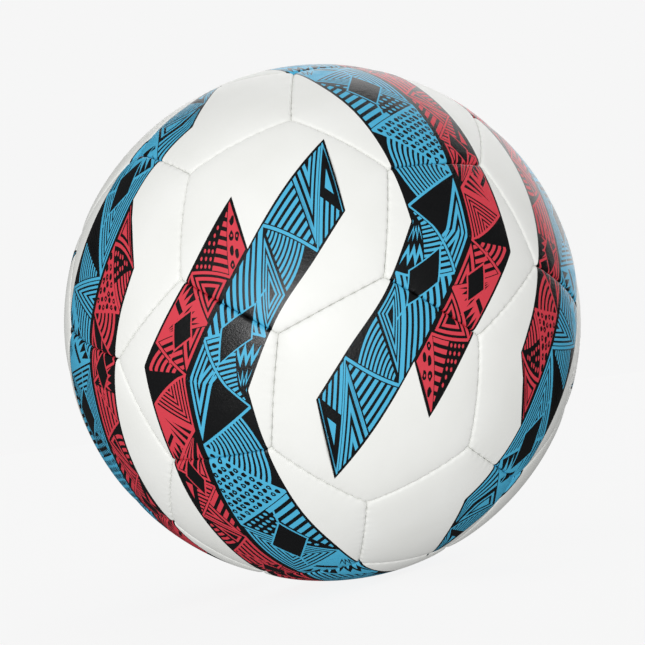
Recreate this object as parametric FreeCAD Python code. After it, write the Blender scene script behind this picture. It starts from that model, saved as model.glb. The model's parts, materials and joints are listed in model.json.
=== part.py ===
"""A stitched size 5 soccer ball, in millimetres.

Thirty-two laminated panels, twenty hexagons and twelve pentagons, are sewn edge to edge with their edges
turned in. Under them lie a rubber bladder, pressed out between the turned-in edges, and a needle valve.

Frame: the origin is the ball's centre. +Z runs along the needle bore, out through the middle of the valve
panel. The seam between two hexagons crosses -Y at its middle.
"""

import FreeCAD, Part  # isort: skip
import math
import os

Vector = FreeCAD.Vector

# The ball. A size 5 ball is 680 to 700 mm round.
BALL_RADIUS = 110.0

# One panel is a laminate of three layers. Each is thinner where the edge is turned in and sewn.
# name: (thickness over the panel's face, thickness along the turned-in edge)
LAYERS = {"skin": (1.0, 0.7), "foam": (1.6, 0.6), "lining": (0.8, 0.5)}
EDGE_ROUNDING = (3.0, 2.2, 1.2, 0.8)  # outside of the skin, then the inside of each layer
TURNED_EDGE_DEPTH = 6.2  # from the ball's surface to the cut end of the turned-in edge

# The seams.
STITCH_DEPTH = 4.7  # from the ball's surface to the row of stitches
STITCH_PITCH = 4.4
STITCHES_PER_SEAM = 9
THREAD_RADIUS = 0.3
NEEDLE_HOLE_REACH = 0.55  # from a diamond-shaped needle hole's middle to its corners
THREAD_LIFT = 0.02  # from the lining to the thread that runs along it

# The bladder, pressed against the lining inside each panel and lying under the turned-in edges between.
BLADDER_WALL = 1.1
BLADDER_GAP = 0.2
THREAD_CLEARANCE = 0.35

# The valve.
COVER_HOLE_RADIUS = 4.3
NECK_RADIUS = 4.0
NECK_RECESS = 0.25  # from the ball's surface down to the neck's top
BARREL_RADIUS = 5.9
BLADDER_HOLE_RADIUS = 6.0
BARREL_LENGTH = 15.0  # below the bladder's inside
FLANGE_RADIUS = 14.0
FLANGE_THICKNESS = 1.2
CORE_RADIUS = 2.6
BULB_RADIUS = 3.6
BULB_LENGTH = 5.0
LIP_THICKNESS = 1.0
AIR_HOLE_RADIUS = 1.5
NEEDLE_BORE_RADIUS = 0.9
NEEDLE_BORE_LENGTH = 14.0
FUNNEL_RADIUS = 1.6
FUNNEL_DEPTH = 0.8
SLIT_WIDTH = 0.2
SLIT_LENGTH = 2.4

OUT = "parts"
ORIGIN = Vector(0, 0, 0)
UP = Vector(0, 0, 1)


# Layout -----------------------------------------------------------------------------------------------


def unit(v):
    return v * (1.0 / v.Length)


def pentagon_axes():
    """The directions of the twelve pentagons' middles, which are an icosahedron's corners."""
    golden = (1 + math.sqrt(5)) / 2
    up = unit(Vector(1, 1, 1))  # a face's middle
    back = unit(Vector(1 / golden, -golden, 1))  # an edge's middle, square to it
    right = back.cross(up)
    corners = []
    for one in (1, -1):
        for long in (golden, -golden):
            corners += [Vector(0, one, long), Vector(one, long, 0), Vector(long, 0, one)]
    turned = [unit(Vector(c.dot(right), c.dot(back), c.dot(up))) for c in corners]
    return sorted(turned, key=from_top_and_front)


def from_top_and_front(direction):
    """Sorts from the top down, and round from the front (-Y) towards +X at each height."""
    turn = math.degrees(math.atan2(direction.x, -direction.y)) % 360
    return (-round(direction.z, 3), round(turn, 1) % 360)


def hexagon_axes(pentagons):
    """The directions of the twenty hexagons' middles: each lies between three neighbouring pentagons."""
    near = neighbour_angle(pentagons)
    found = []
    for i, a in enumerate(pentagons):
        for j in range(i + 1, len(pentagons)):
            for k in range(j + 1, len(pentagons)):
                trio = (a, pentagons[j], pentagons[k])
                sides = (trio[0].getAngle(trio[1]), trio[1].getAngle(trio[2]), trio[2].getAngle(trio[0]))
                if max(sides) < near:
                    found.append(unit(trio[0] + trio[1] + trio[2]))
    return sorted(found, key=from_top_and_front)


def neighbour_angle(pentagons):
    """A little more than the angle between two neighbouring pentagons."""
    return 1.1 * min(pentagons[0].getAngle(p) for p in pentagons[1:])


def seam_corners(pentagons):
    """The sixty directions where three panels meet: a third of the way along from pentagon to pentagon."""
    near = neighbour_angle(pentagons)
    return [unit(a * 2 + b) for a in pentagons for b in pentagons if 0 < a.getAngle(b) < near]


def corners_of(axis, corners, count):
    """The count corners nearest to a panel's axis."""
    return sorted(corners, key=lambda c: c.getAngle(axis))[:count]


def seam_middles(corners):
    """(middle, direction along the seam) of each of the ninety seams."""
    span = 1.1 * min(corners[0].getAngle(c) for c in corners[1:])
    found = []
    for i, a in enumerate(corners):
        for b in corners[i + 1 :]:
            if a.getAngle(b) < span:
                found.append((unit(a + b), unit(b - a)))
    return found


def placed(shape, z_axis, x_hint):
    """A copy of shape with its Z along z_axis and its X as near to x_hint as that allows."""
    z = unit(z_axis)
    y = unit(z.cross(x_hint))
    x = y.cross(z)
    matrix = FreeCAD.Matrix(x.x, y.x, z.x, 0, x.y, y.y, z.y, 0, x.z, y.z, z.z, 0, 0, 0, 0, 1)
    copy = shape.copy()
    copy.Placement = FreeCAD.Placement(matrix)
    return copy


# Panels, each drawn with its middle on +Z and a corner over +X -----------------------------------------


class PanelShape:
    """A regular panel with this many sides, whose corners stand corner_angle from its axis."""

    def __init__(self, sides, corner_angle):
        self.sides = sides
        self.corner_angle = corner_angle
        half = math.pi / sides
        self.side_angle = math.atan(math.tan(corner_angle) * math.cos(half))  # axis to a side's middle

    def corner(self, index):
        turn = 2 * math.pi * index / self.sides
        flat = math.sin(self.corner_angle)
        return Vector(flat * math.cos(turn), flat * math.sin(turn), math.cos(self.corner_angle))

    def pyramid(self, inset):
        """The wedge of space under the panel, with its side planes moved in by inset."""
        apex = UP * (inset / math.sin(self.side_angle))
        reach = 1.4 * BALL_RADIUS
        base = [apex + self.corner(i) * reach for i in range(self.sides)]
        faces = [Part.Face(Part.makePolygon(base + base[:1]))]
        for i in range(self.sides):
            far = [base[i], base[(i + 1) % self.sides]]
            faces.append(Part.Face(Part.makePolygon([apex, *far, apex])))
        return Part.makeSolid(Part.makeShell(faces))

    def side_frame(self, index):
        """(inward, along, up) of one side: square to its seam's plane, along the seam, and out at its middle."""
        a, b = self.corner(index), self.corner((index + 1) % self.sides)
        return unit(a.cross(b)), unit(b - a), unit(a + b)

    def wedge(self, radius, inset, rounding=0.0):
        """The pyramid cut off by a sphere, with its rim bevelled."""
        body = Part.makeSphere(radius).common(self.pyramid(inset)).Solids[0]
        if rounding:
            ring = rim_cutter(radius, inset, rounding)
            frames = [self.side_frame(i) for i in range(self.sides)]
            body = body.cut([placed(ring, inward, up * -1) for inward, along, up in frames]).Solids[0]
        return body

    def stitch_holes(self):
        """The needle holes through every turned-in edge of the panel, as one tool."""
        reach = edge_thickness() + 1.0
        corners = [Vector(NEEDLE_HOLE_REACH, 0, 0), Vector(0, NEEDLE_HOLE_REACH, 0)]
        corners += [corner * -1 for corner in corners]
        diamond = Part.Face(Part.makePolygon([*corners, corners[0]]))
        punch = diamond.extrude(UP * 2 * reach)
        holes = []
        for i in range(self.sides):
            inward, along, up = self.side_frame(i)
            for point in stitch_points():
                hole = placed(punch, inward, up)
                hole.translate(up * point.z + along * point.x - inward * reach)
                holes.append(hole)
        return Part.makeCompound(holes)

    def layers(self):
        """{layer: solid} of the laminate, each a tray with turned-in, needle-punched edges."""
        envelopes = []
        radius, inset = BALL_RADIUS, 0.0
        thicknesses = [*LAYERS.values(), (0, 0)]
        for (face, edge), rounding in zip(thicknesses, EDGE_ROUNDING):
            envelopes.append(self.wedge(radius, inset, rounding))
            radius -= face
            inset += edge
        core = Part.makeSphere(BALL_RADIUS - TURNED_EDGE_DEPTH)
        holes = self.stitch_holes()
        solids = {}
        for name, outer, inner in zip(LAYERS, envelopes, envelopes[1:]):
            solids[name] = outer.cut(inner).cut(core).cut(holes).Solids[0]
        return solids


def rim_cutter(radius, inset, rounding):
    """A ring about Z that takes the rim between a sphere and the plane z = inset off in two bevels."""
    middle = Vector(math.sqrt((radius - rounding) ** 2 - (inset + rounding) ** 2), 0, inset + rounding)
    on_plane = Vector(middle.x, 0, inset)
    on_sphere = middle * (radius / middle.Length)
    halfway = middle + unit(unit(on_plane - middle) + unit(on_sphere - middle)) * rounding
    outside = radius + 2 * rounding
    beyond = [(outside, on_sphere.z), (outside, -rounding), (middle.x, -rounding)]
    return revolved([(point.x, point.z) for point in (on_plane, halfway, on_sphere)] + beyond)


def stitch_points():
    """Where the needle holes lie along a seam: x along it from its middle, z from the ball's centre."""
    radius = BALL_RADIUS - STITCH_DEPTH
    first = -STITCH_PITCH * (STITCHES_PER_SEAM - 1) / 2
    across = [first + STITCH_PITCH * i for i in range(STITCHES_PER_SEAM)]
    return [Vector(x, 0, math.sqrt(radius**2 - x**2)) for x in across]


def lining_radius():
    """The inside of the lining over a panel's face."""
    return BALL_RADIUS - sum(face for face, edge in LAYERS.values())


def edge_thickness():
    return sum(edge for face, edge in LAYERS.values())


def seam_thread():
    """One seam's thread: through both edges at each hole, and along the lining to the next one.
    X runs along the seam and Y across it."""
    side = edge_thickness() + THREAD_RADIUS + THREAD_LIFT
    path = []
    for i, point in enumerate(stitch_points()):
        across = side if i % 2 else -side
        path += [Vector(point.x, across, point.z), Vector(point.x, -across, point.z)]
    section = Part.Wire(Part.makeCircle(THREAD_RADIUS, path[0], path[1] - path[0]))
    square_corners = 1
    return Part.makePolygon(path).makePipeShell([section], True, True, square_corners)


# Inside -----------------------------------------------------------------------------------------------


def pressed_out_ball(panels, low_radius, high_radius, inset):
    """A ball of low_radius that swells to high_radius inside each panel's turned-in edges."""
    pads = [placed(shape.wedge(high_radius, inset), axis, corner) for shape, axis, corner in panels]
    return Part.makeSphere(low_radius).multiFuse(pads).removeSplitter().Solids[0]


def bladder(panels):
    high = lining_radius() - BLADDER_GAP
    low = BALL_RADIUS - TURNED_EDGE_DEPTH - BLADDER_GAP
    inset = edge_thickness() + 2 * THREAD_RADIUS + THREAD_CLEARANCE
    outside = pressed_out_ball(panels, low, high, inset)
    inside = pressed_out_ball(panels, low - BLADDER_WALL, high - BLADDER_WALL, inset + BLADDER_WALL)
    return outside.cut(inside).cut(Part.makeCylinder(BLADDER_HOLE_RADIUS, 2 * BALL_RADIUS)).Solids[0]


def bladder_inside_radius():
    return lining_radius() - BLADDER_GAP - BLADDER_WALL


def valve_levels():
    """Heights above the ball's centre that the housing and the core share."""
    top = BALL_RADIUS - NECK_RECESS
    bottom = bladder_inside_radius() - BARREL_LENGTH
    bulb_top = bottom + LIP_THICKNESS + BULB_LENGTH
    return top, bottom, bulb_top


def revolved(outline):
    """A solid turned about Z from (radius, height) points."""
    points = [Vector(r, 0, z) for r, z in outline]
    face = Part.Face(Part.makePolygon(points + points[:1]))
    return face.revolve(ORIGIN, UP, 360).Solids[0]


def valve_housing():
    """The rubber barrel with its flange bonded inside the bladder and its neck through the cover."""
    top, bottom, bulb_top = valve_levels()
    shoulder = lining_radius() - BLADDER_GAP
    barrel = revolved(
        [
            (CORE_RADIUS, top),
            (NECK_RADIUS, top),
            (NECK_RADIUS, shoulder),
            (BARREL_RADIUS, shoulder - 1.0),
            (BARREL_RADIUS, bottom),
            (AIR_HOLE_RADIUS, bottom),
            (AIR_HOLE_RADIUS, bottom + LIP_THICKNESS),
            (BULB_RADIUS, bottom + LIP_THICKNESS),
            (BULB_RADIUS, bulb_top),
            (CORE_RADIUS, bulb_top),
        ]
    )
    outer = Part.makeSphere(bladder_inside_radius())
    inner = Part.makeSphere(bladder_inside_radius() - FLANGE_THICKNESS)
    ring = Part.makeCylinder(FLANGE_RADIUS, BALL_RADIUS).cut(Part.makeCylinder(BARREL_RADIUS - 0.5, BALL_RADIUS))
    flange = outer.cut(inner).common(ring)
    return barrel.fuse(flange).removeSplitter().Solids[0]


def valve_core():
    """The soft plug in the housing: a funnel, the needle bore and a slit that air pressure closes."""
    top, bottom, bulb_top = valve_levels()
    bore_end = top - FUNNEL_DEPTH - NEEDLE_BORE_LENGTH
    plug = revolved(
        [
            (0, bottom + LIP_THICKNESS),
            (BULB_RADIUS, bottom + LIP_THICKNESS),
            (BULB_RADIUS, bulb_top),
            (CORE_RADIUS, bulb_top),
            (CORE_RADIUS, top),
            (FUNNEL_RADIUS, top),
            (NEEDLE_BORE_RADIUS, top - FUNNEL_DEPTH),
            (NEEDLE_BORE_RADIUS, bore_end),
            (0, bore_end),
        ]
    )
    slit = Part.makeBox(SLIT_LENGTH, SLIT_WIDTH, BALL_RADIUS, Vector(-SLIT_LENGTH / 2, -SLIT_WIDTH / 2, 0))
    slit = slit.common(Part.makeBox(20, 20, bore_end - bottom + 1, Vector(-10, -10, bottom - 1)))
    return plug.cut(slit).Solids[0]


# Nodes ------------------------------------------------------------------------------------------------


def save(name, solids):
    """Writes one node, and prints its volume."""
    shape = solids[0] if len(solids) == 1 else Part.makeCompound(solids)
    for solid in shape.Solids:
        if not solid.isValid() or not solid.isClosed():
            raise RuntimeError(f"{name} holds a solid that is not valid and closed")
    shape.exportStep(f"{OUT}/{name}.step")
    print(f"{name}: {len(shape.Solids)} solids, {shape.Volume / 1000:.2f} cm3")


def main():
    os.makedirs(OUT, exist_ok=True)
    pentagons = pentagon_axes()
    hexagons = hexagon_axes(pentagons)
    corners = seam_corners(pentagons)
    shapes = {}
    for kind, axes, sides in (("hexagon", hexagons, 6), ("pentagon", pentagons, 5)):
        nearest = corners_of(axes[0], corners, 1)[0]
        shapes[kind] = PanelShape(sides, nearest.getAngle(axes[0]))
    panels = []
    for kind, axes in (("hexagon", hexagons), ("pentagon", pentagons)):
        layers = shapes[kind].layers()
        grouped = {name: [] for name in LAYERS if name != "skin"}
        for number, axis in enumerate(axes, 1):
            corner = corners_of(axis, corners, 1)[0]
            panels.append((shapes[kind], axis, corner))
            is_valve_panel = axis.getAngle(UP) < 0.01
            for layer, solid in layers.items():
                piece = placed(solid, axis, corner)
                if is_valve_panel:
                    piece = piece.cut(Part.makeCylinder(COVER_HOLE_RADIUS, 2 * BALL_RADIUS)).Solids[0]
                if layer != "skin":
                    grouped[layer].append(piece)
                elif is_valve_panel:
                    save("valve_panel", [piece])
                else:
                    save(f"{kind}_panel_{number:02d}", [piece])
        for layer, solids in grouped.items():
            save(f"{kind}_{layer}", solids)
    thread = seam_thread()
    save("seam_threads", [placed(thread, middle, along) for middle, along in seam_middles(corners)])
    save("bladder", [bladder(panels)])
    save("valve_housing", [valve_housing()])
    save("valve_core", [valve_core()])


main()
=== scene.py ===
"""The looks of a stitched soccer ball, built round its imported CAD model.

Every cover panel is one closed shell of printed synthetic leather: a crowned face, an edge that rolls
down into its seams, and the edge's turned-in wall. The print is cut into the shell's own faces. It is
drawn once, as small flat shapes in the strip coordinates of a blue band and a red one, and then repeated
round the ball.

Lengths are millimetres until a mesh is made, and angles are degrees where a name ends in _DEG.
"""

import json
import math
import random
from itertools import combinations

import bpy
import numpy as np
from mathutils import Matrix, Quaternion, Vector
from mathutils.geometry import delaunay_2d_cdt


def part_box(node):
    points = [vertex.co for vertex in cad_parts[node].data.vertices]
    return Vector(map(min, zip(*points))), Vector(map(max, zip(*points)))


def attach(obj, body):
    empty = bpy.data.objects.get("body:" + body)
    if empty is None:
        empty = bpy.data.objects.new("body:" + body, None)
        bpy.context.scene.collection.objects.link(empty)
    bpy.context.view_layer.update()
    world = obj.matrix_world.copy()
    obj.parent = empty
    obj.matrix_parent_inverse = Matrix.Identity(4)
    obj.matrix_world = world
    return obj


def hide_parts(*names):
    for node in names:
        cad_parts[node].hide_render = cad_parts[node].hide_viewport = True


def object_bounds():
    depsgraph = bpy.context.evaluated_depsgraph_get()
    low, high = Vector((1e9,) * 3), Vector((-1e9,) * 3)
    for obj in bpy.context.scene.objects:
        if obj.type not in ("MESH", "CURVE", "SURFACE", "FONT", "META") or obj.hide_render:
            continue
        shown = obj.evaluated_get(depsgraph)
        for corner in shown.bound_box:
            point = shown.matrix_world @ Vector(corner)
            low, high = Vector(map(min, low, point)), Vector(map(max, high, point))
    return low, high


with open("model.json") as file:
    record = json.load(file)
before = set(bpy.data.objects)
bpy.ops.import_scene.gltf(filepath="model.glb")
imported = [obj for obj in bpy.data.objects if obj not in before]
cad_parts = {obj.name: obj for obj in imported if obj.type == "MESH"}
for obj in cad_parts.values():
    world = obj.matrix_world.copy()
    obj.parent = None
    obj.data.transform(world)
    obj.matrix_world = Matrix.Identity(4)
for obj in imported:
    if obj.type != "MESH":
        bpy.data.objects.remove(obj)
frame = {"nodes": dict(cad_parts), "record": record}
cad_box = [list(corner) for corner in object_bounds()]

MM = 0.001
BALL_RADIUS = (cad_box[1][0] - cad_box[0][0]) / 2 / MM

# The relief of a panel, by the distance from its nearest seam.
ROLL_WIDTH = 1.4
ROLL_DEPTH = 0.7
CROWN_DEPTH = 0.62  # how much lower a panel is beside its seams than at its middle
CROWN_REACH = 4.0
CORNER_BLEND = 0.8  # rounds the roll off where two seams meet
CORNER_DIMPLE = 1.7  # how fast a panel drops past the blended edge at its corners
SEAM_GAP = 0.03  # from a seam's middle to the panel's edge

# The unevenness along a seam. Each wave is (length, height, which of the panel's phases it takes), and a
# length is that of one radian.
WAVER = 0.05  # how far the seam runs out of line
WAVER_WAVES = ((4.7, 1.0, 0), (1.9, 0.7, 1), (0.9, 0.4, 2))
PUCKER_DEPTH = 0.09
PUCKER_REACH = 2.2
PUCKER_SHARE = 0.4  # how much of the pucker is uneven
PUCKER_WAVES = ((0.62, 1.0, 2), (0.43, 0.8, 0), (1.3, 0.7, 1))

# The stitches.
STITCH_PITCH = 4.4
STITCH_COUNT = 9
STITCH_LEVEL = 4.7  # depth under the surface
STITCH_PULL = 0.4
STITCH_REACH = 1.0

# The shell.
SKIN_THICKNESS = 1.0
EDGE_THICKNESS = 0.7
TURNED_EDGE_DEPTH = 6.0
INNER_BEND_DEPTH = 2.2  # where the turned-in edge bends into the panel's inside
INNER_BEND_WIDTH = 2.9

# The hole for the valve's neck.
VALVE_HOLE_RADIUS = 4.3
VALVE_ROLL = 0.7
VALVE_SINK = 0.2  # how much lower the panel is beside the hole
VALVE_SINK_REACH = 3.0
VALVE_MESH_MARGIN = 2.5  # between the hole and the nearest point of the grid

# The mesh.
POINTS_PER_SEAM = 60
ROLL_RINGS = 6
LAST_RING = 1.7  # as a share of the roll's width
GRID = 3.2
INSIDE_GRID = 3 * GRID
HOLE_POINTS = 72
SMALLEST_SHAPE = 1e-4  # in square millimetres
CDT_TRIANGLES_INSIDE = 1
CDT_EPSILON = 1e-5

# The print.
OUTLINE = 0.9  # the black along a band's long edges, measured along its rungs
END_OUTLINE = 1.3  # the black at a band's ends
FRAME = 0.5  # half an ink line between two cells
HALF_GAP = 0.35  # half the gap between two motifs in one cell
CELL_LENGTH = 0.69  # of the band's height
CELL_JITTER = 0.2  # of a cell's length
PITCHES = (2.1, 3.5)  # the finest filling of a cell and the coarsest
INK_SHARE = 0.56  # of a stripe and the gap beside it
MISPRINT = 0.5  # how far a panel's print is out of place
WHITE, BLACK, BLUE, RED = range(4)

# The kites: the knots of a band that carry one, and their shares of the band's height.
FIRST_KITE = 4
KITE_STEP = 5
KITE_LENGTH = 0.5
KITE_HEIGHT = 0.3
KITE_LEAN = 0.12
KITE_STROKE = 1.5  # how far the strokes reach, as a share of the kite

# The camera.
CAMERA_AZIMUTH_DEG = -2.154
CAMERA_ELEVATION_DEG = -3.158
CAMERA_ROLL_DEG = -7.49
CAMERA_DISTANCE = 6.204 * BALL_RADIUS
CAMERA_LENS = 88.35
CAMERA_SENSOR = 36

# The light, as radiance, and where the tent is lightest, as (azimuth, elevation).
BACKDROP = 0.922
FLOOR_GLOW = 0.872
FLOOR_ALBEDO = 0.07
TENT_BEHIND = 0.18
TENT_IN_FRONT = 0.97
TENT_IN_GLOSS = 0.13  # how much of the tent shows in reflections
TENT_AIM_DEG = (-14, 6)

# The values between which a noise spends most of its range, and the length of one wave of a wave texture
# whose scale is 1.
NOISE_LOW = 0.3
NOISE_HIGH = 0.7
UNIT_WAVE = 0.31

# The noises of the cover's grain, as (size, detail, height): fine, gritty, and slow from the foam under it.
GRAIN_NOISES = ((0.16, 3, 0.5), (1.0, 4, 1.2), (7.0, 1, 2.0))
PEBBLE_SIZE = 0.42
PEBBLE_HEIGHT = 0.6


# Directions -------------------------------------------------------------------------------------------


def unit(v):
    return v / np.linalg.norm(v, axis=-1, keepdims=True)


def angle_between(a, b):
    return math.acos(max(-1.0, min(1.0, float(a @ b))))


def pentagon_axes():
    """The directions of the twelve pentagons' middles, with a hexagon on +Z and a hexagon's side on -Y."""
    golden = (1 + math.sqrt(5)) / 2
    up = unit(np.array([1.0, 1.0, 1.0]))
    back = unit(np.array([1 / golden, -golden, 1.0]))
    right = np.cross(back, up)
    corners = []
    for one in (1, -1):
        for long in (golden, -golden):
            corners += [(0, one, long), (one, long, 0), (long, 0, one)]
    return unit(np.array(corners, float)) @ np.array([right, back, up]).T


def neighbour_reach(pentagons):
    """An angle that is a little over the one between two neighbouring pentagons' middles."""
    return 1.1 * min(angle_between(pentagons[0], p) for p in pentagons[1:])


def hexagon_axes(pentagons):
    """The directions of the twenty hexagons' middles, each between three pentagons."""
    near = neighbour_reach(pentagons)
    found = []
    for a, b, c in combinations(pentagons, 3):
        if max(angle_between(a, b), angle_between(b, c), angle_between(c, a)) < near:
            found.append(unit(a + b + c))
    return np.array(found)


def seam_corners(pentagons):
    """The directions of the sixty points where three panels meet."""
    near = neighbour_reach(pentagons)
    found = []
    for i, a in enumerate(pentagons):
        for j, b in enumerate(pentagons):
            if i != j and angle_between(a, b) < near:
                found.append(unit(2 * a + b))
    return np.array(found)


def node_direction(name):
    """The direction of the middle of a CAD node's box."""
    low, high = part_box(name)
    return unit(np.array(low + high))


# Print, drawn flat ------------------------------------------------------------------------------------


PRINT_POLE = np.array([-2 / 3, 0, math.sqrt(5) / 3])  # the print repeats three times round this
PRINT_FRONT = np.array([0.0, -1.0, 0.0])
PRINT_EAST = np.cross(PRINT_POLE, PRINT_FRONT)

# Each rung runs across a band, from (longitude, latitude) on its outer edge to the same on its inner one, in
# degrees. The letters name the edges that turn a corner there: o for the outer one, i for the inner one.
BLUE_RUNGS = [
    ((-15.8, -9.7), (-27.7, -23.2), ""),
    ((-4.0, -7.9), (-13.5, -22.4), ""),
    ((9.0, -6.1), (2.5, -19.4), "i"),
    ((23.3, -1.3), (30.8, -11.9), "oi"),
    ((30.7, 9.0), (39.0, -2.4), ""),
    ((38.9, 22.0), (48.3, 9.3), ""),
    ((47.1, 34.9), (58.5, 21.9), ""),
    ((59.8, 46.7), (68.0, 33.6), ""),
    ((75.7, 56.8), (81.0, 41.6), ""),
    ((95.0, 63.7), (95.0, 47.3), ""),
    ((108.0, 67.0), (106.7, 51.2), "i"),
    ((122.0, 68.4), (123.0, 53.9), ""),
    ((138.0, 68.2), (138.3, 53.3), "i"),
    ((158.0, 65.0), (158.0, 58.2), ""),
    ((181.0, 61.1), (181.0, 61.0), ""),
]
RED_RUNGS = [
    ((2.5, -19.4), (-4.2, -29.8), ""),
    ((16.0, -16.1), (15.5, -25.5), ""),
    ((30.8, -11.9), (37.1, -20.5), "oi"),
    ((39.0, -2.4), (46.5, -7.2), ""),
    ((48.3, 9.3), (55.0, 4.4), ""),
    ((58.5, 21.9), (64.2, 16.2), ""),
    ((68.0, 33.6), (74.0, 25.4), ""),
    ((81.0, 41.6), (85.0, 32.3), ""),
    ((95.0, 47.3), (91.0, 35.0), ""),
    ((106.7, 51.2), (95.8, 37.0), ""),
]


def print_direction(longitude_deg, latitude_deg):
    """The direction of a place whose latitude is measured from the print's own equator."""
    longitude, latitude = math.radians(longitude_deg), math.radians(latitude_deg)
    level = math.sin(longitude) * PRINT_EAST + math.cos(longitude) * PRINT_FRONT
    return math.cos(latitude) * level + math.sin(latitude) * PRINT_POLE


class Band:
    """A printed strip.

    x runs along its middle in millimetres, and y from 0 at its outer edge to its height at the inner one.
    """

    STEPS = 8  # from one rung to the next

    def __init__(self, rungs):
        self.outer = np.array([print_direction(*outer) for outer, inner, corners in rungs])
        self.inner = np.array([print_direction(*inner) for outer, inner, corners in rungs])
        self.outer_corners = {i for i, rung in enumerate(rungs) if "o" in rung[2]}
        self.inner_corners = {i for i, rung in enumerate(rungs) if "i" in rung[2]}
        self.stations = np.linspace(0, len(rungs) - 1, (len(rungs) - 1) * self.STEPS + 1)
        outer = edge_points(self.outer, self.outer_corners, self.stations)
        inner = edge_points(self.inner, self.inner_corners, self.stations)
        middle = unit(outer + inner) * BALL_RADIUS
        steps = np.linalg.norm(np.diff(middle, axis=0), axis=1)
        self.along = np.concatenate([[0], np.cumsum(steps)])
        self.widths = np.linalg.norm(outer - inner, axis=1) * BALL_RADIUS
        self.length = self.along[-1]
        self.height = float(np.median(self.widths))

    def directions(self, points, margin=OUTLINE):
        """The unit vectors of (x, y) points. y is squeezed to leave the margin at both edges."""
        x, y = np.asarray(points, float).T
        station = np.interp(x, self.along, self.stations)
        share = np.minimum(margin / np.maximum(np.interp(x, self.along, self.widths), 1e-6), 0.5)
        across = (share + (1 - 2 * share) * y / self.height)[:, None]
        outer = edge_points(self.outer, self.outer_corners, station)
        inner = edge_points(self.inner, self.inner_corners, station)
        return unit(outer * (1 - across) + inner * across)


def edge_points(controls, corners, stations):
    """Points on the smooth curve through the controls, which breaks at the corners."""
    before = np.clip(np.floor(stations).astype(int), 0, len(controls) - 2)
    share = (stations - before)[:, None]
    p1, p2 = controls[before], controls[before + 1]
    p0 = controls[np.maximum(before - 1, 0)]
    p3 = controls[np.minimum(before + 2, len(controls) - 1)]
    ends = corners | {0, len(controls) - 1}
    starts_sharp = np.isin(before, list(ends))[:, None]
    stops_sharp = np.isin(before + 1, list(ends))[:, None]
    p0 = np.where(starts_sharp, 2 * p1 - p2, p0)
    p3 = np.where(stops_sharp, 2 * p2 - p1, p3)
    linear, square, cube = p2 - p0, 2 * p0 - 5 * p1 + 4 * p2 - p3, 3 * p1 - 3 * p2 + p3 - p0
    return unit(p1 + 0.5 * share * (linear + share * (square + share * cube)))


def lerp(a, b, share):
    return a + (b - a) * share


def height_over(a, b, c):
    """The distance of c from the line through a and b."""
    (x, y), (u, v) = b - a, c - a
    return abs(x * v - y * u) / max(math.hypot(x, y), 1e-6)


def shrunk(corners, gap):
    """A triangle moved in by gap on every side, or None if nothing is left of it."""
    a, b, c = corners
    sides = np.array([np.linalg.norm(b - c), np.linalg.norm(c - a), np.linalg.norm(a - b)])
    centre = (sides[0] * a + sides[1] * b + sides[2] * c) / sides.sum()
    radius = height_over(a, b, centre)
    if radius < gap * 2:
        return None
    return [lerp(centre, corner, 1 - gap / radius) for corner in corners]


def bar(start, stop, width):
    """A straight stroke."""
    side = unit(np.array([start[1] - stop[1], stop[0] - start[0]])) * width / 2
    return [start + side, start - side, stop - side, stop + side]


def stripes(a, b, c, pitch, chance):
    """Stripes side by side, parallel to ab."""
    count = max(2, round(height_over(a, b, c) / pitch))
    shapes = []
    for i in range(count):
        low, high = i / count, (i + INK_SHARE) / count
        shapes.append([lerp(a, c, low), lerp(b, c, low), lerp(b, c, high), lerp(a, c, high)])
    return shapes


def rays(a, b, c, pitch, chance):
    """Wedges that spread from c to the side ab."""
    spacing, clear_of_tip = 1.3 * pitch, 0.1
    count = max(2, round(np.linalg.norm(b - a) / spacing))
    shapes = []
    for i in range(count):
        start, stop = lerp(a, b, i / count), lerp(a, b, (i + INK_SHARE) / count)
        shapes.append([lerp(c, start, clear_of_tip), start, stop, lerp(c, stop, clear_of_tip)])
    return shapes


def rings(a, b, c, pitch, chance):
    """Triangles inside each other."""
    margin, line, gap = 0.3 * pitch, 0.4 * pitch, 0.34 * pitch
    shapes, corners = [], shrunk([a, b, c], margin)
    while corners:
        shapes.append(corners)
        hole = shrunk(corners, line)
        if hole is None:
            break
        shapes.append(Paper(hole))
        corners = shrunk(hole, gap)
    return shapes


def chevrons(a, b, c, pitch, chance):
    """Angles inside each other that point to c and stand on ab."""
    foot, spacing = lerp(a, b, 0.5), 0.75 * pitch
    count = max(2, round(height_over(b, c, foot) / spacing))
    shapes = []
    for i in range(count):
        shapes.append([lerp(foot, corner, 1 - i / count) for corner in (a, b, c)])
        shapes.append(Paper([lerp(foot, corner, 1 - (i + INK_SHARE) / count) for corner in (a, b, c)]))
    return shapes


def arcs(a, b, c, pitch, chance):
    """Round stripes about c, as far out as the side ab."""
    reach = height_over(a, b, c)
    count = max(2, round(reach / pitch))
    left, right = unit(a - c), unit(b - c)
    steps = 8
    turns = [unit(lerp(left, right, k / steps)) for k in range(steps + 1)]
    shapes = []
    for i in range(1, count):
        inner, outer = reach * i / count, reach * (i + INK_SHARE) / count
        shapes.append([c + t * inner for t in turns] + [c + t * outer for t in reversed(turns)])
    return shapes


def zigzag(a, b, c, pitch, chance):
    """A bold zigzag that runs beside ab, with a thinner one above it."""
    spacing, swing = 3.4 * pitch, 0.2
    shapes = []
    for low, thick in ((0.1, 0.16), (0.5, 0.09)):
        teeth = 2 * max(3, round(np.linalg.norm(b - a) * (1 - low) / spacing))
        under, over = [], []
        for k in range(teeth + 1):
            level = low + swing * (k % 2)
            under.append(lerp(lerp(a, c, level), lerp(b, c, level), k / teeth))
            over.append(lerp(lerp(a, c, level + thick), lerp(b, c, level + thick), k / teeth))
        shapes.append(under + over[::-1])
    return shapes


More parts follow.
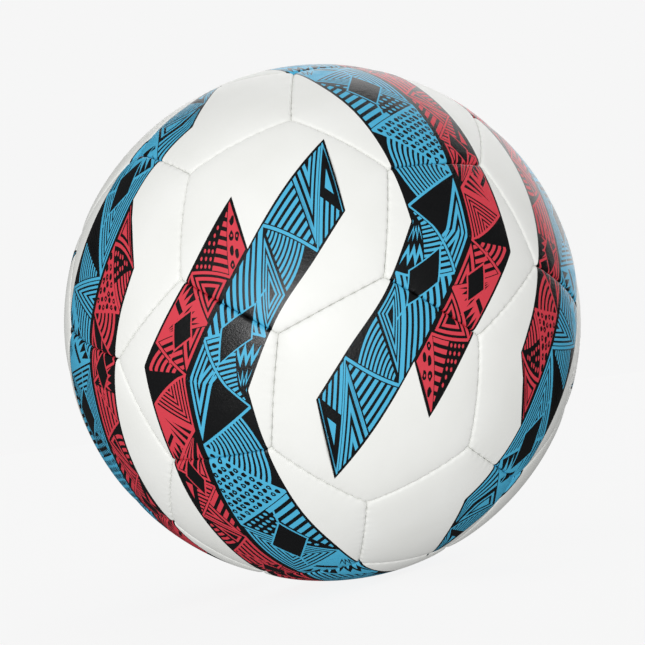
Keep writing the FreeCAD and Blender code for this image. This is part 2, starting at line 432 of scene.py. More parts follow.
def dots(a, b, c, pitch, chance):
    """Rows of six-sided dots."""
    spacing, radius = 0.85 * pitch, 0.27 * pitch
    rows = max(2, round(height_over(a, b, c) / spacing))
    shapes = []
    for i in range(rows):
        level = (i + 0.45) / rows
        left, right = lerp(a, c, level), lerp(b, c, level)
        count = int(np.linalg.norm(right - left) / spacing)
        for k in range(count):
            middle = lerp(left, right, (k + 0.5) / count)
            shapes.append(blob(middle, radius, sides=6, unevenness=0, chance=chance))
    return shapes


def blob(middle, radius, sides, unevenness, chance):
    """A round spot, each corner of which lies in or out by as much as its unevenness."""
    points = []
    for k in range(sides):
        turn = k * math.tau / sides
        reach = radius * (1 + unevenness * chance.uniform(-1, 1))
        points.append(middle + reach * np.array([math.cos(turn), math.sin(turn)]))
    return points


def spots(a, b, c, pitch, chance):
    """Uneven spots, some of them open in the middle."""
    row_spacing, spacing, jitter = 1.15 * pitch, 1.2 * pitch, 0.12
    radius, hole_radius = 0.46 * pitch, 0.16 * pitch
    rows = max(2, round(height_over(a, b, c) / row_spacing))
    shapes = []
    for i in range(rows):
        level = (i + 0.5) / rows
        left, right = lerp(a, c, level), lerp(b, c, level)
        count = int(np.linalg.norm(right - left) / spacing)
        for k in range(count):
            middle = lerp(left, right, (k + 0.5 + chance.uniform(-jitter, jitter)) / count)
            shapes.append(blob(middle, radius, sides=9, unevenness=0.22, chance=chance))
            if (i + k) % 2:
                shapes.append(Paper(blob(middle, hole_radius, sides=6, unevenness=0.2, chance=chance)))
    return shapes


def saw(a, b, c, pitch, chance):
    """Teeth along ab with a bar above them."""
    spacing, tooth = 1.15 * pitch, 0.27
    low, high = 0.36, 0.46
    count = max(2, round(np.linalg.norm(b - a) / spacing))
    shapes = []
    for i in range(count):
        tip = lerp(lerp(a, c, tooth), lerp(b, c, tooth), (i + 0.5) / count)
        shapes.append([lerp(a, b, i / count), lerp(a, b, (i + 1) / count), tip])
    shapes.append([lerp(a, c, low), lerp(b, c, low), lerp(b, c, high), lerp(a, c, high)])
    return shapes


def slashes(a, b, c, pitch, chance):
    """Tapering strokes of uneven length that start from ab."""
    spacing, shortest, longest = 1.4 * pitch, 0.35, 0.8
    count = max(3, round(np.linalg.norm(b - a) / spacing))
    shapes = []
    for i in range(count):
        foot, stop = lerp(a, b, (i + 0.2) / count), lerp(a, b, (i + 0.72) / count)
        shapes.append([foot, stop, lerp(lerp(foot, stop, 0.7), c, chance.uniform(shortest, longest))])
    return shapes


def heart(a, b, c, pitch, chance):
    """A small triangle in the middle."""
    centre, size = (a + b + c) / 3, 0.42
    return [[lerp(centre, corner, size) for corner in (a, b, c)]]


def bare(a, b, c, pitch, chance):
    """The ground alone."""
    return []


def halves(first, second):
    """Two motifs side by side, with a gap between them."""

    def motif(a, b, c, pitch, chance):
        foot = lerp(a, b, 0.5)
        shapes = []
        for part, half in ((first, [a, foot, c]), (second, [foot, b, c])):
            corners = shrunk(half, HALF_GAP)
            if corners:
                shapes += part(*corners, pitch, chance)
        return shapes

    return motif


class Paper(list):
    """A shape that shows the cell's ground again, over the shapes that came before it."""


# What fills a cell, and whether its ground is ink with black shapes on it, or black with ink ones.
MOTIFS = [
    (halves(heart, stripes), False),
    (halves(stripes, chevrons), False),
    (halves(rings, arcs), False),
    (stripes, False),
    (halves(zigzag, stripes), False),
    (halves(chevrons, bare), False),
    (arcs, False),
    (spots, True),
    (halves(stripes, dots), False),
    (rings, False),
    (halves(saw, zigzag), True),
    (halves(chevrons, stripes), False),
    (halves(bare, arcs), False),
    (chevrons, False),
    (halves(slashes, saw), True),
    (halves(rays, rings), False),
]


def cell_shapes(left, tip, right, number, chance):
    """The cell with two corners on one edge of the band and its tip on the other.

    It is a list of (points, whether in ink). Ink strokes frame its two slanting sides.
    """
    motif, inked = MOTIFS[number % len(MOTIFS)]
    turn, pitch = chance.randrange(3), chance.uniform(*PITCHES)
    shapes = [([left, tip, right], True)]
    inside = shrunk([left, tip, right], FRAME)
    if inside is None:
        return shapes
    inner_left, inner_tip, inner_right = inside
    reach = (left[1] - inner_tip[1]) / (inner_left[1] - inner_tip[1])
    inside = [lerp(inner_tip, inner_left, reach), inner_tip, lerp(inner_tip, inner_right, reach)]
    if not inked:
        shapes.append((inside, False))
    for shape in motif(*inside[turn:], *inside[:turn], pitch, chance):
        shapes.append((shape, inked == isinstance(shape, Paper)))
    return shapes


def kite_shapes(middle, length, height, lean):
    """A black four-cornered field in an ink frame, with strokes that run on from its ends."""
    stroke_width, frame_width = 1.6 * FRAME, 1.7 * FRAME
    tips = np.array([(-length, lean), (lean, -height), (length, -lean), (-lean, height)])
    shapes = []
    for end in (tips[0], tips[2]):
        shapes.append((bar(middle + end, middle + end * KITE_STROKE, stroke_width), True))
    shapes.append(([middle + tip for tip in tips], True))
    inner = 1 - frame_width / min(length, height)
    shapes.append(([middle + tip * inner for tip in tips], False))
    return shapes


def band_knots(band, chance):
    """The corners of a band's cells, on its two edges in turn. Both ends of the band have two."""
    first, last = END_OUTLINE, band.length - END_OUTLINE
    count = round((last - first) / (CELL_LENGTH * band.height))
    knots = [np.array([first, 0.0]), np.array([first, band.height])]
    for i in range(1, count):
        x = first + (i + chance.uniform(-CELL_JITTER, CELL_JITTER)) * (last - first) / count
        knots.append(np.array([x, band.height * ((i + 1) % 2)]))
    for i in (count, count + 1):
        knots.append(np.array([last, band.height * ((i + 1) % 2)]))
    return knots


def band_shapes(band, ink, first_motif, seed):
    """The band as (unit vectors, colour) shapes, each painted over the ones before it."""
    shapes = []
    edges = np.linspace(0, band.length, 4 * len(band.stations))
    for x0, x1 in zip(edges, edges[1:]):
        patch = [(x0, 0), (x1, 0), (x1, band.height), (x0, band.height)]
        shapes.append((band.directions(patch, margin=0), BLACK))
    chance = random.Random(seed)
    knots = band_knots(band, chance)
    flat = []
    for i in range(len(knots) - 2):
        flat += cell_shapes(*knots[i : i + 3], first_motif + i, chance)
    for i in range(FIRST_KITE, len(knots) - FIRST_KITE, KITE_STEP):
        middle = lerp(knots[i], knots[i + 1], 0.5)
        lean = chance.uniform(-KITE_LEAN, KITE_LEAN) * band.height
        flat += kite_shapes(middle, KITE_LENGTH * band.height, KITE_HEIGHT * band.height, lean)
    for points, is_ink in flat:
        shapes.append((band.directions(subdivided(points)), ink if is_ink else BLACK))
    return shapes


def subdivided(points, longest=3.0):
    """The outline with points added, so that it can follow a bent band."""
    found = []
    for start, stop in zip(points, points[1:] + points[:1]):
        steps = max(1, math.ceil(np.linalg.norm(stop - start) / longest))
        found += [lerp(start, stop, k / steps) for k in range(steps)]
    return np.array(found)


def turn_about(axis, angle):
    """The rotation matrix for an angle in radians about an axis."""
    return np.array(Quaternion(Vector(axis), angle).to_matrix())


def whole_print():
    """Every shape of the print, six times round the ball: three turns of the pole, and each turned over."""
    one = band_shapes(Band(BLUE_RUNGS), BLUE, first_motif=0, seed=11)
    one += band_shapes(Band(RED_RUNGS), RED, first_motif=7, seed=24)
    shapes = []
    for over in (0, math.pi):
        for third in range(3):
            turn = turn_about(PRINT_POLE, third * math.tau / 3) @ turn_about(PRINT_FRONT, over)
            shapes += [(points @ turn.T, colour) for points, colour in one]
    return shapes


# Panels -----------------------------------------------------------------------------------------------


class Panel:
    """One panel's layout, its plane map and its relief."""

    def __init__(self, axis, corners, has_valve, seed):
        self.axis, self.has_valve = axis, has_valve
        self.x_axis = unit(corners[0] - (corners[0] @ axis) * axis)
        self.y_axis = np.cross(axis, self.x_axis)
        order = np.argsort(np.arctan2(corners @ self.y_axis, corners @ self.x_axis) % math.tau)
        self.corners = corners[order]
        following = np.roll(self.corners, -1, axis=0)
        self.inward = unit(np.cross(self.corners, following))
        self.seam_along = unit(following - self.corners)
        self.seam_middle = unit(following + self.corners)
        self.side_angle = angle_between(axis, self.seam_middle[0])
        chance = np.random.default_rng(seed)
        self.phases = chance.uniform(0, math.tau, (3, len(corners)))
        self.print_turn = turn_about(unit(chance.normal(size=3)), MISPRINT / BALL_RADIUS)

    def flat(self, directions):
        """Where directions from the centre meet the plane that touches the ball at the panel's middle."""
        depth = directions @ self.axis
        across = np.stack([directions @ self.x_axis, directions @ self.y_axis], axis=1)
        return BALL_RADIUS * across / depth[:, None]

    def directions(self, flat):
        flat = np.asarray(flat, float)
        return unit(flat[:, :1] * self.x_axis + flat[:, 1:] * self.y_axis + BALL_RADIUS * self.axis)

    def inset_scale(self, distance):
        """What brings the panel's flat outline in by a distance from its seams."""
        return math.tan(self.side_angle - distance / BALL_RADIUS) / math.tan(self.side_angle)

    def ripple(self, along, waves):
        return sum(height * np.sin(along / length + self.phases[k]) for length, height, k in waves)

    def radius(self, directions):
        """The height of the panel's outside over the ball's centre."""
        from_seam = BALL_RADIUS * np.arcsin(np.clip(directions @ self.inward.T, -1, 1))
        along = np.arctan2(directions @ self.seam_along.T, directions @ self.seam_middle.T)
        along *= BALL_RADIUS - STITCH_LEVEL
        stitched = np.clip(STITCH_COUNT * STITCH_PITCH / 2 - np.abs(along), 0, 1)
        pull = STITCH_PULL * (0.5 + 0.5 * np.cos(along * math.tau / STITCH_PITCH)) ** 2 * stitched
        waver = WAVER * self.ripple(along, WAVER_WAVES)
        distance = from_seam - (pull + waver) * np.exp(-np.abs(from_seam) / STITCH_REACH)
        nearest = -CORNER_BLEND * np.log(np.exp(-distance / CORNER_BLEND).sum(axis=1))
        roll = rolled(nearest, ROLL_WIDTH, ROLL_DEPTH)
        drop = roll + CROWN_DEPTH * np.exp(-np.maximum(nearest, 0) / CROWN_REACH)
        drop += CORNER_DIMPLE * np.maximum(-nearest, 0)
        pucker = 1 + PUCKER_SHARE * self.ripple(along, PUCKER_WAVES)
        drop += PUCKER_DEPTH * (pucker * np.exp(-np.abs(from_seam) / PUCKER_REACH)).sum(axis=1)
        if self.has_valve:
            from_axis = BALL_RADIUS * np.arccos(np.clip(directions @ self.axis, -1, 1))
            from_hole = from_axis - VALVE_HOLE_RADIUS
            sink = VALVE_SINK * np.exp(-np.maximum(from_hole, 0) / VALVE_SINK_REACH)
            drop += rolled(from_hole, VALVE_ROLL, VALVE_ROLL) + sink
        return BALL_RADIUS - drop

    def surface(self, directions):
        return directions * self.radius(directions)[:, None]

    def normals(self, directions):
        """The outside's normals, from its slopes over a small step in radians."""
        step = 2e-4
        level = self.x_axis + 0.3 * self.y_axis  # along none of the directions in the panel
        one = unit(np.cross(directions, level))
        other = np.cross(directions, one)
        across = self.surface(unit(directions + step * one)) - self.surface(unit(directions - step * one))
        down = self.surface(unit(directions + step * other)) - self.surface(unit(directions - step * other))
        found = unit(np.cross(across, down))
        return found * np.sign((found * directions).sum(axis=1, keepdims=True))


def rolled(distance, width, depth):
    """The drop of an edge that rolls over in a quarter of an ellipse."""
    share = np.clip(1 - distance / width, 0, 1)
    return depth * (1 - np.sqrt(1 - share**2))


class Outlines:
    """Points, edges and faces collected for one triangulation."""

    def __init__(self):
        self.points, self.edges, self.faces = [], [], []

    def loop(self, points, face=False):
        """Adds a closed ring of points, as a face or only as edges to keep."""
        first = len(self.points)
        self.points += [tuple(p) for p in points]
        ring = list(range(first, len(self.points)))
        if face:
            self.faces.append(ring if signed_area(points) > 0 else ring[::-1])
        else:
            self.edges += list(zip(ring, ring[1:] + ring[:1]))

    def triangles(self):
        """(flat points, triangles, the faces that each triangle lies in)."""
        vectors = [Vector(p) for p in self.points]
        made = delaunay_2d_cdt(vectors, self.edges, self.faces, CDT_TRIANGLES_INSIDE, CDT_EPSILON, True)
        return np.array([tuple(p) for p in made[0]]), made[2], made[5]


def signed_area(points):
    x, y = np.asarray(points).T
    return 0.5 * float((x * np.roll(y, -1) - y * np.roll(x, -1)).sum())


def circle(radius, count=HOLE_POINTS):
    turns = np.arange(count) * math.tau / count
    return radius * np.stack([np.cos(turns), np.sin(turns)], axis=1)


def grid_points(panel, spacing, keep_from_seam):
    """A triangular grid over the panel's flat outline."""
    reach = BALL_RADIUS * 0.5
    rows = np.arange(-reach, reach, spacing * math.sqrt(3) / 2)
    columns = np.arange(-reach, reach, spacing)
    points = np.array([(x + spacing / 2 * (i & 1), y) for i, y in enumerate(rows) for x in columns])
    directions = panel.directions(points)
    inside = (BALL_RADIUS * np.arcsin(directions @ panel.inward.T)).min(axis=1) > keep_from_seam
    if panel.has_valve:
        inside &= np.linalg.norm(points, axis=1) > VALVE_HOLE_RADIUS + VALVE_MESH_MARGIN
    return points[inside]


def border_points(panel):
    """The panel's flat outline, with points evenly along each seam."""
    corners = panel.flat(panel.corners) * panel.inset_scale(SEAM_GAP)
    following = np.roll(corners, -1, axis=0)
    shares = np.arange(POINTS_PER_SEAM)[:, None] / POINTS_PER_SEAM
    return np.concatenate([lerp(a, b, shares) for a, b in zip(corners, following)])


def panel_face(panel, shapes):
    """The panel's outside: (flat points, triangles, colour of each)."""
    outlines = Outlines()
    border = border_points(panel)
    outlines.loop(border, face=True)
    roll_turns = np.arange(1, ROLL_RINGS + 1) * math.pi / 2 / ROLL_RINGS
    for distance in [*(ROLL_WIDTH * (1 - np.cos(roll_turns))), LAST_RING * ROLL_WIDTH]:
        outlines.loop(border * panel.inset_scale(distance))
    hole = len(outlines.faces)
    if panel.has_valve:
        outlines.loop(circle(VALVE_HOLE_RADIUS), face=True)
        for turn in [*roll_turns, math.pi]:
            outlines.loop(circle(VALVE_HOLE_RADIUS + VALVE_ROLL * (1 - math.cos(turn))))
    first_shape = len(outlines.faces)
    colours = []
    for directions, colour in shapes:
        turned = directions @ panel.print_turn.T
        past_a_seam = (turned @ panel.inward.T < 0).all(axis=0).any()
        far_round = (turned @ panel.axis).min() < 0.5  # over 60 degrees from the panel's middle
        if past_a_seam or far_round:
            continue
        flat = panel.flat(turned)
        if abs(signed_area(flat)) > SMALLEST_SHAPE:
            outlines.loop(flat, face=True)
            colours.append(colour)
    outlines.points += [tuple(p) for p in grid_points(panel, GRID, 1.5 * ROLL_WIDTH + GRID / 2)]
    flat, triangles, inside = outlines.triangles()
    spilt = spilt_faces(outlines, flat, triangles, inside)
    kept, painted = [], []
    for triangle, faces in zip(triangles, inside):
        if 0 in faces and not (panel.has_valve and hole in faces):
            kept.append(tuple(triangle))
            top = max((face for face in faces if face not in spilt), default=0)
            painted.append(colours[top - first_shape] if top >= first_shape else WHITE)
    return flat, kept, painted


def spilt_faces(outlines, flat, triangles, inside):
    """The faces whose outlines cross themselves, so that they are filled on the wrong side."""
    covered = np.zeros(len(outlines.faces))
    corners = flat[np.array([tuple(triangle) for triangle in triangles])]
    (x, y), (u, v) = (corners[:, 1] - corners[:, 0]).T, (corners[:, 2] - corners[:, 0]).T
    for area, faces in zip(np.abs(x * v - y * u) / 2, inside):
        covered[list(faces)] += area
    own = [abs(signed_area([outlines.points[k] for k in face])) for face in outlines.faces]
    most = 1.2 * np.array(own) + 0.01
    return set(np.flatnonzero(covered > most))


class Shell:
    """A panel's mesh as it grows.

    Each face has its points, its colour, and a normal for each of its corners, or None.
    """

    def __init__(self):
        self.points, self.faces, self.colours, self.normals = [], [], [], []

    def add_points(self, points):
        first = len(self.points)
        self.points += [tuple(p) for p in points]
        return first

    def add_face(self, corners, colour, normals=None):
        self.faces.append(tuple(corners))
        self.colours.append(colour)
        self.normals.append(normals)

    def bridge(self, upper, lower, colours):
        """Quads from one closed ring of points down to the next."""
        for k, colour in enumerate(colours):
            after = (k + 1) % len(upper)
            self.add_face((upper[k], lower[k], lower[after], upper[after]), colour)


def boundary_loops(flat, triangles, painted):
    """The mesh's open rings, the widest first, as (point indices in order, colour beside each edge)."""
    colour_of = {}
    for triangle, colour in zip(triangles, painted):
        for a, b in zip(triangle, triangle[1:] + triangle[:1]):
            colour_of[a, b] = colour
    rim = {a: (b, colour) for (a, b), colour in colour_of.items() if (b, a) not in colour_of}
    loops = []
    while rim:
        ring, colours = [], []
        at = next(iter(rim))
        while at in rim:
            ring.append(at)
            at, colour = rim.pop(at)
            colours.append(colour)
        loops.append((ring, colours))
    return sorted(loops, key=lambda loop: -np.linalg.norm(flat[loop[0][0]]))


def add_wall(shell, panel, flat_ring, top_ring, colours, steps):
    """Rings of quads from top_ring down through steps of (distance from the seam, radius)."""
    upper = top_ring
    for distance, radius in steps:
        flat = flat_ring * panel.inset_scale(distance) / panel.inset_scale(0)
        first = shell.add_points(panel.directions(flat) * radius)
        lower = list(range(first, first + len(flat)))
        shell.bridge(upper, lower, colours)
        upper = lower
    return upper, flat


def close_inside(shell, panel, rings):
    """The panel's inside, spanned over its innermost rings of (point indices, flat points)."""
    outlines = Outlines()
    for _, flat in rings:
        outlines.loop(flat, face=True)
    outlines.points += [tuple(p) for p in grid_points(panel, INSIDE_GRID, 2 * GRID)]
    flat, triangles, inside = outlines.triangles()
    known = {}
    for indices, ring in rings:
        for index, point in zip(indices, ring):
            known[int(np.abs(flat - point).sum(axis=1).argmin())] = index
    fresh = [k for k in range(len(flat)) if k not in known]
    first = shell.add_points(panel.directions(flat[fresh]) * (BALL_RADIUS - SKIN_THICKNESS))
    known.update({k: first + i for i, k in enumerate(fresh)})
    for triangle, faces in zip(triangles, inside):
        if 0 in faces and len(faces) == 1:
            shell.add_face([known[k] for k in reversed(triangle)], WHITE)


def panel_shell(panel, shapes):
    """The closed shell of a panel: its printed outside, its walls and its inside."""
    flat, triangles, painted = panel_face(panel, shapes)
    directions = panel.directions(flat)
    normals = panel.normals(directions)
    used = sorted({k for triangle in triangles for k in triangle})
    place = {k: i for i, k in enumerate(used)}
    shell = Shell()
    shell.add_points(panel.surface(directions[used]))
    for triangle, colour in zip(triangles, painted):
        shell.add_face([place[k] for k in triangle], colour, normals[list(triangle)])
    rings = []
    deep, inside = BALL_RADIUS - TURNED_EDGE_DEPTH, BALL_RADIUS - SKIN_THICKNESS
    for number, (ring, colours) in enumerate(boundary_loops(flat, triangles, painted)):
        top = [place[k] for k in ring]
        if number == 0:
            bend = [(EDGE_THICKNESS, inside - INNER_BEND_DEPTH), (INNER_BEND_WIDTH, inside)]
            steps = [(0, deep), (EDGE_THICKNESS, deep), *bend]
        else:
            steps = [(0, inside)]
        rings.append(add_wall(shell, panel, flat[ring], top, colours, steps))
    close_inside(shell, panel, rings)
    return shell


def make_piece(name, shell, materials):
    mesh = bpy.data.meshes.new(name)
    mesh.from_pydata([tuple(MM * x for x in p) for p in shell.points], [], shell.faces)
    mesh.polygons.foreach_set("material_index", shell.colours)
    mesh.polygons.foreach_set("use_smooth", [True] * len(shell.faces))
    for material in materials:
        mesh.materials.append(material)
    mesh.update()
    corner_normals = []
    for polygon, normals in zip(mesh.polygons, shell.normals):
        if normals is None:
            corner_normals += [tuple(polygon.normal)] * len(polygon.vertices)
        else:
            corner_normals += [tuple(n) for n in normals]
    mesh.normals_split_custom_set(corner_normals)
    piece = bpy.data.objects.new(name, mesh)
    bpy.context.scene.collection.objects.link(piece)
    return piece


# Materials --------------------------------------------------------------------------------------------


class Nodes:
    """A new material and short ways to add its nodes. The keywords set its shader's sockets."""

    def __init__(self, name, **settings):
        self.material = bpy.data.materials.new(name)
        self.material.use_nodes = True
        self.tree = self.material.node_tree
        self.shader = self.tree.nodes["Principled BSDF"]
        for socket, value in settings.items():
            self.shader.inputs[socket.replace("_", " ")].default_value = value
        coordinates = self.tree.nodes.new("ShaderNodeTexCoord")
        self.place = coordinates.outputs["Object"]

    def link(self, output, target):
        self.tree.links.new(output, target)

    def noise(self, size_mm, detail=2.0, roughness=0.5):
        node = self.tree.nodes.new("ShaderNodeTexNoise")
        node.inputs["Scale"].default_value = 1 / (size_mm * MM)
        node.inputs["Detail"].default_value = detail
        node.inputs["Roughness"].default_value = roughness
        self.link(self.place, node.inputs["Vector"])
        return node.outputs["Fac"]

    def cells(self, size_mm, feature="F1"):
        node = self.tree.nodes.new("ShaderNodeTexVoronoi")
        node.feature = feature
        node.inputs["Scale"].default_value = 1 / (size_mm * MM)
        self.link(self.place, node.inputs["Vector"])
        return node.outputs["Distance"]

    def ribs(self, size_mm, direction):
        node = self.tree.nodes.new("ShaderNodeTexWave")
        node.bands_direction = direction
        node.inputs["Scale"].default_value = 1 / (size_mm * MM) * UNIT_WAVE
        node.inputs["Distortion"].default_value = 0.6
        self.link(self.place, node.inputs["Vector"])
        return node.outputs["Fac"]

    def math(self, operation, first, second):
        node = self.tree.nodes.new("ShaderNodeMath")
        node.operation = operation
        for socket, value in zip(node.inputs, (first, second)):
            if isinstance(value, (int, float)):
                socket.default_value = value
            else:
                self.link(value, socket)
        return node.outputs["Value"]

    def colour(self, noise, low, high):
        """The shader's base colour, from low to high as the noise rises."""
        node = self.tree.nodes.new("ShaderNodeValToRGB")
        ends = node.color_ramp.elements
        for end, position, colour in ((ends[0], NOISE_LOW, low), (ends[1], NOISE_HIGH, high)):
            end.position = position
            end.color = (*colour, 1)
        self.link(noise, node.inputs["Fac"])
        self.link(node.outputs["Color"], self.shader.inputs["Base Color"])

    def rough(self, noise, low, high):
        """The shader's roughness, from low to high as the noise rises."""
        node = self.tree.nodes.new("ShaderNodeMapRange")
        ends = {"From Min": NOISE_LOW, "From Max": NOISE_HIGH, "To Min": low, "To Max": high}
        for socket, number in ends.items():
            node.inputs[socket].default_value = number
        self.link(noise, node.inputs["Value"])
        self.link(node.outputs["Result"], self.shader.inputs["Roughness"])

    def bump(self, height, depth_mm):
        node = self.tree.nodes.new("ShaderNodeBump")
        node.inputs["Strength"].default_value = 1.0
        node.inputs["Distance"].default_value = depth_mm * MM
        self.link(height, node.inputs["Height"])
        self.link(node.outputs["Normal"], self.shader.inputs["Normal"])


def cover_grain(nodes, depth_mm):
    """The fine pebble of coated synthetic leather, and its unevenness."""
    height = nodes.math("MULTIPLY", nodes.cells(PEBBLE_SIZE, feature="SMOOTH_F1"), PEBBLE_HEIGHT)
    for size_mm, detail, share in GRAIN_NOISES:
        height = nodes.math("ADD", height, nodes.math("MULTIPLY", nodes.noise(size_mm, detail), share))
    nodes.bump(height, depth_mm)


def white_cover():
    nodes = Nodes("cover_white", Coat_Weight=0.1, Coat_Roughness=0.25, Specular_IOR_Level=0.35)
    fine_share = 0.12
    fine = nodes.math("MULTIPLY", nodes.noise(0.5), fine_share)
    mottle = nodes.math("ADD", nodes.noise(24, detail=4), fine)
    centred = nodes.math("SUBTRACT", mottle, fine_share / 2)
    nodes.colour(centred, (0.815, 0.82, 0.79), (0.85, 0.855, 0.83))
    nodes.rough(nodes.noise(2.2, detail=4), 0.40, 0.52)
    cover_grain(nodes, depth_mm=0.012)
    return nodes.material


def ink(name, colour, rough, grain_mm, specular):
    nodes = Nodes(name, Coat_Weight=0.04, Coat_Roughness=0.2, Specular_IOR_Level=specular)
    nodes.shader.inputs["Base Color"].default_value = (*colour, 1)
    nodes.rough(nodes.noise(0.8, detail=5, roughness=0.65), *rough)
    cover_grain(nodes, grain_mm)
    return nodes.material


def cover_materials():
    """The four finishes of the cover, in the order of the colour numbers."""
    return [
        white_cover(),
        ink("ink_black", (0.0014, 0.0018, 0.0026), rough=(0.27, 0.42), grain_mm=0.07, specular=0.8),
        ink("ink_blue", (0.068, 0.44, 0.68), rough=(0.3, 0.44), grain_mm=0.05, specular=0.4),
        ink("ink_red", (0.67, 0.045, 0.069), rough=(0.3, 0.44), grain_mm=0.05, specular=0.4),
    ]


def foam_material():
    nodes = Nodes("foam", Specular_IOR_Level=0.2)
    cells = nodes.cells(0.7)
    nodes.colour(cells, (0.62, 0.60, 0.52), (0.80, 0.78, 0.70))
    nodes.rough(nodes.noise(1.0), 0.8, 0.95)
    nodes.bump(cells, depth_mm=0.15)
    return nodes.material


def cloth_material(name, dark, light, *, yarn_mm):
    nodes = Nodes(name, Sheen_Weight=0.15, Specular_IOR_Level=0.2)
    weave = nodes.math("MAXIMUM", nodes.ribs(yarn_mm, "X"), nodes.ribs(yarn_mm, "Z"))
    nodes.colour(weave, dark, light)
    nodes.rough(nodes.noise(1.5), 0.75, 0.92)
    nodes.bump(weave, depth_mm=0.1)
    return nodes.material


def rubber_material(name, dark, light, *, rough):
    nodes = Nodes(name, Specular_IOR_Level=0.4)
    nodes.colour(nodes.noise(6, detail=5, roughness=0.6), dark, light)
    nodes.rough(nodes.noise(1.8, detail=4), *rough)
    nodes.bump(nodes.noise(0.3, detail=3), depth_mm=0.02)
    return nodes.material


def finish_inner_parts():
    """Gives the CAD parts that stay their materials."""
    housing = rubber_material("valve_rubber", (0.016, 0.016, 0.018), (0.03, 0.03, 0.033), rough=(0.42, 0.6))
    foam = foam_material()
    lining = cloth_material("lining_cloth", (0.45, 0.42, 0.33), (0.70, 0.67, 0.56), yarn_mm=0.6)
    thread = cloth_material("waxed_thread", (0.60, 0.58, 0.50), (0.80, 0.78, 0.70), yarn_mm=0.25)
    bladder = rubber_material("bladder_rubber", (0.02, 0.02, 0.022), (0.06, 0.06, 0.06), rough=(0.6, 0.85))
    core = rubber_material("valve_plug", (0.05, 0.05, 0.052), (0.085, 0.085, 0.088), rough=(0.28, 0.45))
    finishes = {
        "hexagon_foam": foam,
        "pentagon_foam": foam,
        "hexagon_lining": lining,
        "pentagon_lining": lining,
        "seam_threads": thread,
        "bladder": bladder,
        "valve_housing": housing,
        "valve_core": core,
    }
    for node, material in finishes.items():
        mesh = frame["nodes"][node].data
        mesh.materials.clear()
        mesh.materials.append(material)


# Ball, stage, lights and camera -----------------------------------------------------------------------


def make_cover():
    pentagons = pentagon_axes()
    axes = np.concatenate([hexagon_axes(pentagons), pentagons])
    corners = seam_corners(pentagons)
    mounts = {mount["name"]: mount for mount in frame["record"]["mounts"]}
    valve_axis = np.array(mounts["needle_bore"]["axis"], float)
    materials = cover_materials()
    shapes = whole_print()
    panel_nodes = sorted(name for name in frame["nodes"] if "panel" in name)
    for number, node in enumerate(panel_nodes):
        axis = axes[np.argmax(axes @ node_direction(node))]
        sides = 5 if node.startswith("pentagon") else 6
        own_corners = corners[np.argsort(-(corners @ axis))[:sides]]
        has_valve = float(axis @ valve_axis) > 0.999
        panel = Panel(axis, own_corners, has_valve, seed=number)
        piece = make_piece(f"{node}_skin", panel_shell(panel, shapes), materials)
        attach(piece, "root")
        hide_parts(node)


def make_floor():
    """A pale floor that glows, so that it is as light as the backdrop. It lights nothing itself."""
    nodes = Nodes("pale_floor", Roughness=0.9, Specular_IOR_Level=0.0, Emission_Strength=FLOOR_GLOW)
    nodes.shader.inputs["Base Color"].default_value = (FLOOR_ALBEDO, FLOOR_ALBEDO, FLOOR_ALBEDO, 1)
    nodes.shader.inputs["Emission Color"].default_value = (1, 1, 1, 1)
    half = 40.0  # metres, so that its edge isn't seen
    level = cad_box[0][2]
    mesh = bpy.data.meshes.new("floor")
    corners = [(-half, -half, level), (half, -half, level), (half, half, level), (-half, half, level)]
    mesh.from_pydata(corners, [], [(0, 1, 2, 3)])
    mesh.materials.append(nodes.material)
    floor = bpy.data.objects.new("floor", mesh)
    floor.visible_diffuse = False
    floor.visible_glossy = False
    floor.visible_shadow = False
    bpy.context.scene.collection.objects.link(floor)


def aim(azimuth_deg, elevation_deg):
    """The direction towards something seen from the ball at an azimuth that is 0 at -Y and 90 at +X."""
    azimuth, elevation = math.radians(azimuth_deg), math.radians(elevation_deg)
    level = math.cos(elevation)
    return Vector((math.sin(azimuth) * level, -math.cos(azimuth) * level, math.sin(elevation)))


def make_soft_light(name, *, azimuth_deg, elevation_deg, size_deg, strength):
    light = bpy.data.lights.new(name, "SUN")
    light.energy = strength
    light.angle = math.radians(size_deg)
    lamp = bpy.data.objects.new(name, light)
    lamp.rotation_mode = "QUATERNION"
    lamp.rotation_quaternion = aim(azimuth_deg, elevation_deg).to_track_quat("Z", "Y")
    bpy.context.scene.collection.objects.link(lamp)


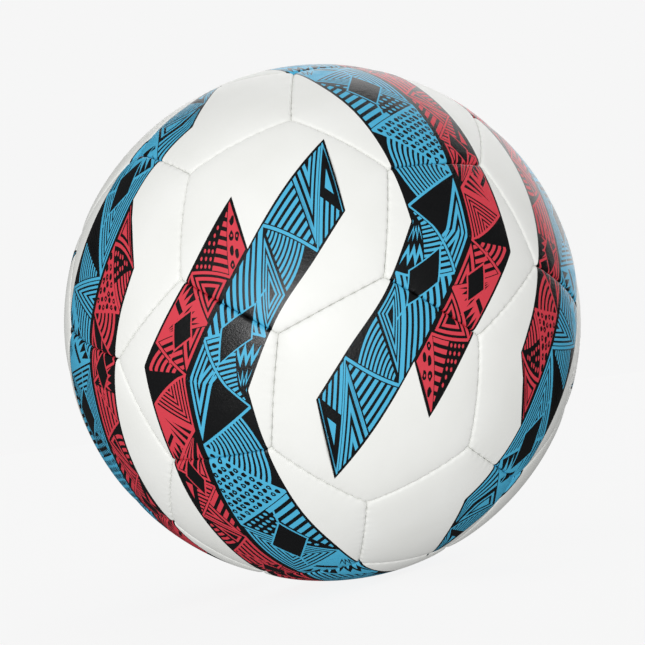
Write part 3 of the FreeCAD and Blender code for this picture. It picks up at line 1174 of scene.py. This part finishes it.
def make_world():
    """A plain backdrop to look at, and a soft tent, lightest in front, to light the ball."""
    world = bpy.data.worlds.new("studio")
    world.use_nodes = True
    bpy.context.scene.world = world
    nodes, links = world.node_tree.nodes, world.node_tree.links

    def mapped(value, **ends):
        node = nodes.new("ShaderNodeMapRange")
        for socket, number in ends.items():
            node.inputs[socket.replace("_", " ")].default_value = number
        links.new(value, node.inputs["Value"])
        return node

    place = nodes.new("ShaderNodeTexCoord")
    facing = nodes.new("ShaderNodeVectorMath")
    facing.operation = "DOT_PRODUCT"
    facing.inputs[1].default_value = aim(*TENT_AIM_DEG)
    links.new(place.outputs["Generated"], facing.inputs[0])
    tent = mapped(facing.outputs["Value"], From_Min=-1, To_Min=TENT_BEHIND, To_Max=TENT_IN_FRONT)
    path = nodes.new("ShaderNodeLightPath")
    share = mapped(path.outputs["Is Glossy Ray"], To_Min=1, To_Max=TENT_IN_GLOSS)
    light = nodes.new("ShaderNodeMath")
    light.operation = "MULTIPLY"
    links.new(tent.outputs["Result"], light.inputs[0])
    links.new(share.outputs["Result"], light.inputs[1])
    blend = mapped(path.outputs["Is Camera Ray"], To_Max=BACKDROP)
    links.new(light.outputs["Value"], blend.inputs["To Min"])
    links.new(blend.outputs["Result"], nodes["Background"].inputs["Strength"])
    nodes["Background"].inputs["Color"].default_value = (1, 1, 1, 1)


def make_camera():
    data = bpy.data.cameras.new("camera")
    data.sensor_width = CAMERA_SENSOR
    data.lens = CAMERA_LENS
    data.clip_start = 0.01
    camera = bpy.data.objects.new("camera", data)
    back = aim(CAMERA_AZIMUTH_DEG, CAMERA_ELEVATION_DEG)
    camera.location = back * CAMERA_DISTANCE * MM
    camera.rotation_mode = "QUATERNION"
    roll = Quaternion((0, 0, 1), math.radians(CAMERA_ROLL_DEG))
    camera.rotation_quaternion = back.to_track_quat("Z", "Y") @ roll
    bpy.context.scene.collection.objects.link(camera)
    bpy.context.scene.camera = camera


def make_studio():
    make_floor()
    make_soft_light("key", azimuth_deg=-16, elevation_deg=1, size_deg=24, strength=1.09)
    make_soft_light("back", azimuth_deg=160, elevation_deg=25, size_deg=60, strength=1.3)
    make_world()
    bpy.context.scene.view_settings.view_transform = "Standard"


make_cover()
finish_inner_parts()
make_camera()
make_studio()

bpy.context.view_layer.update()
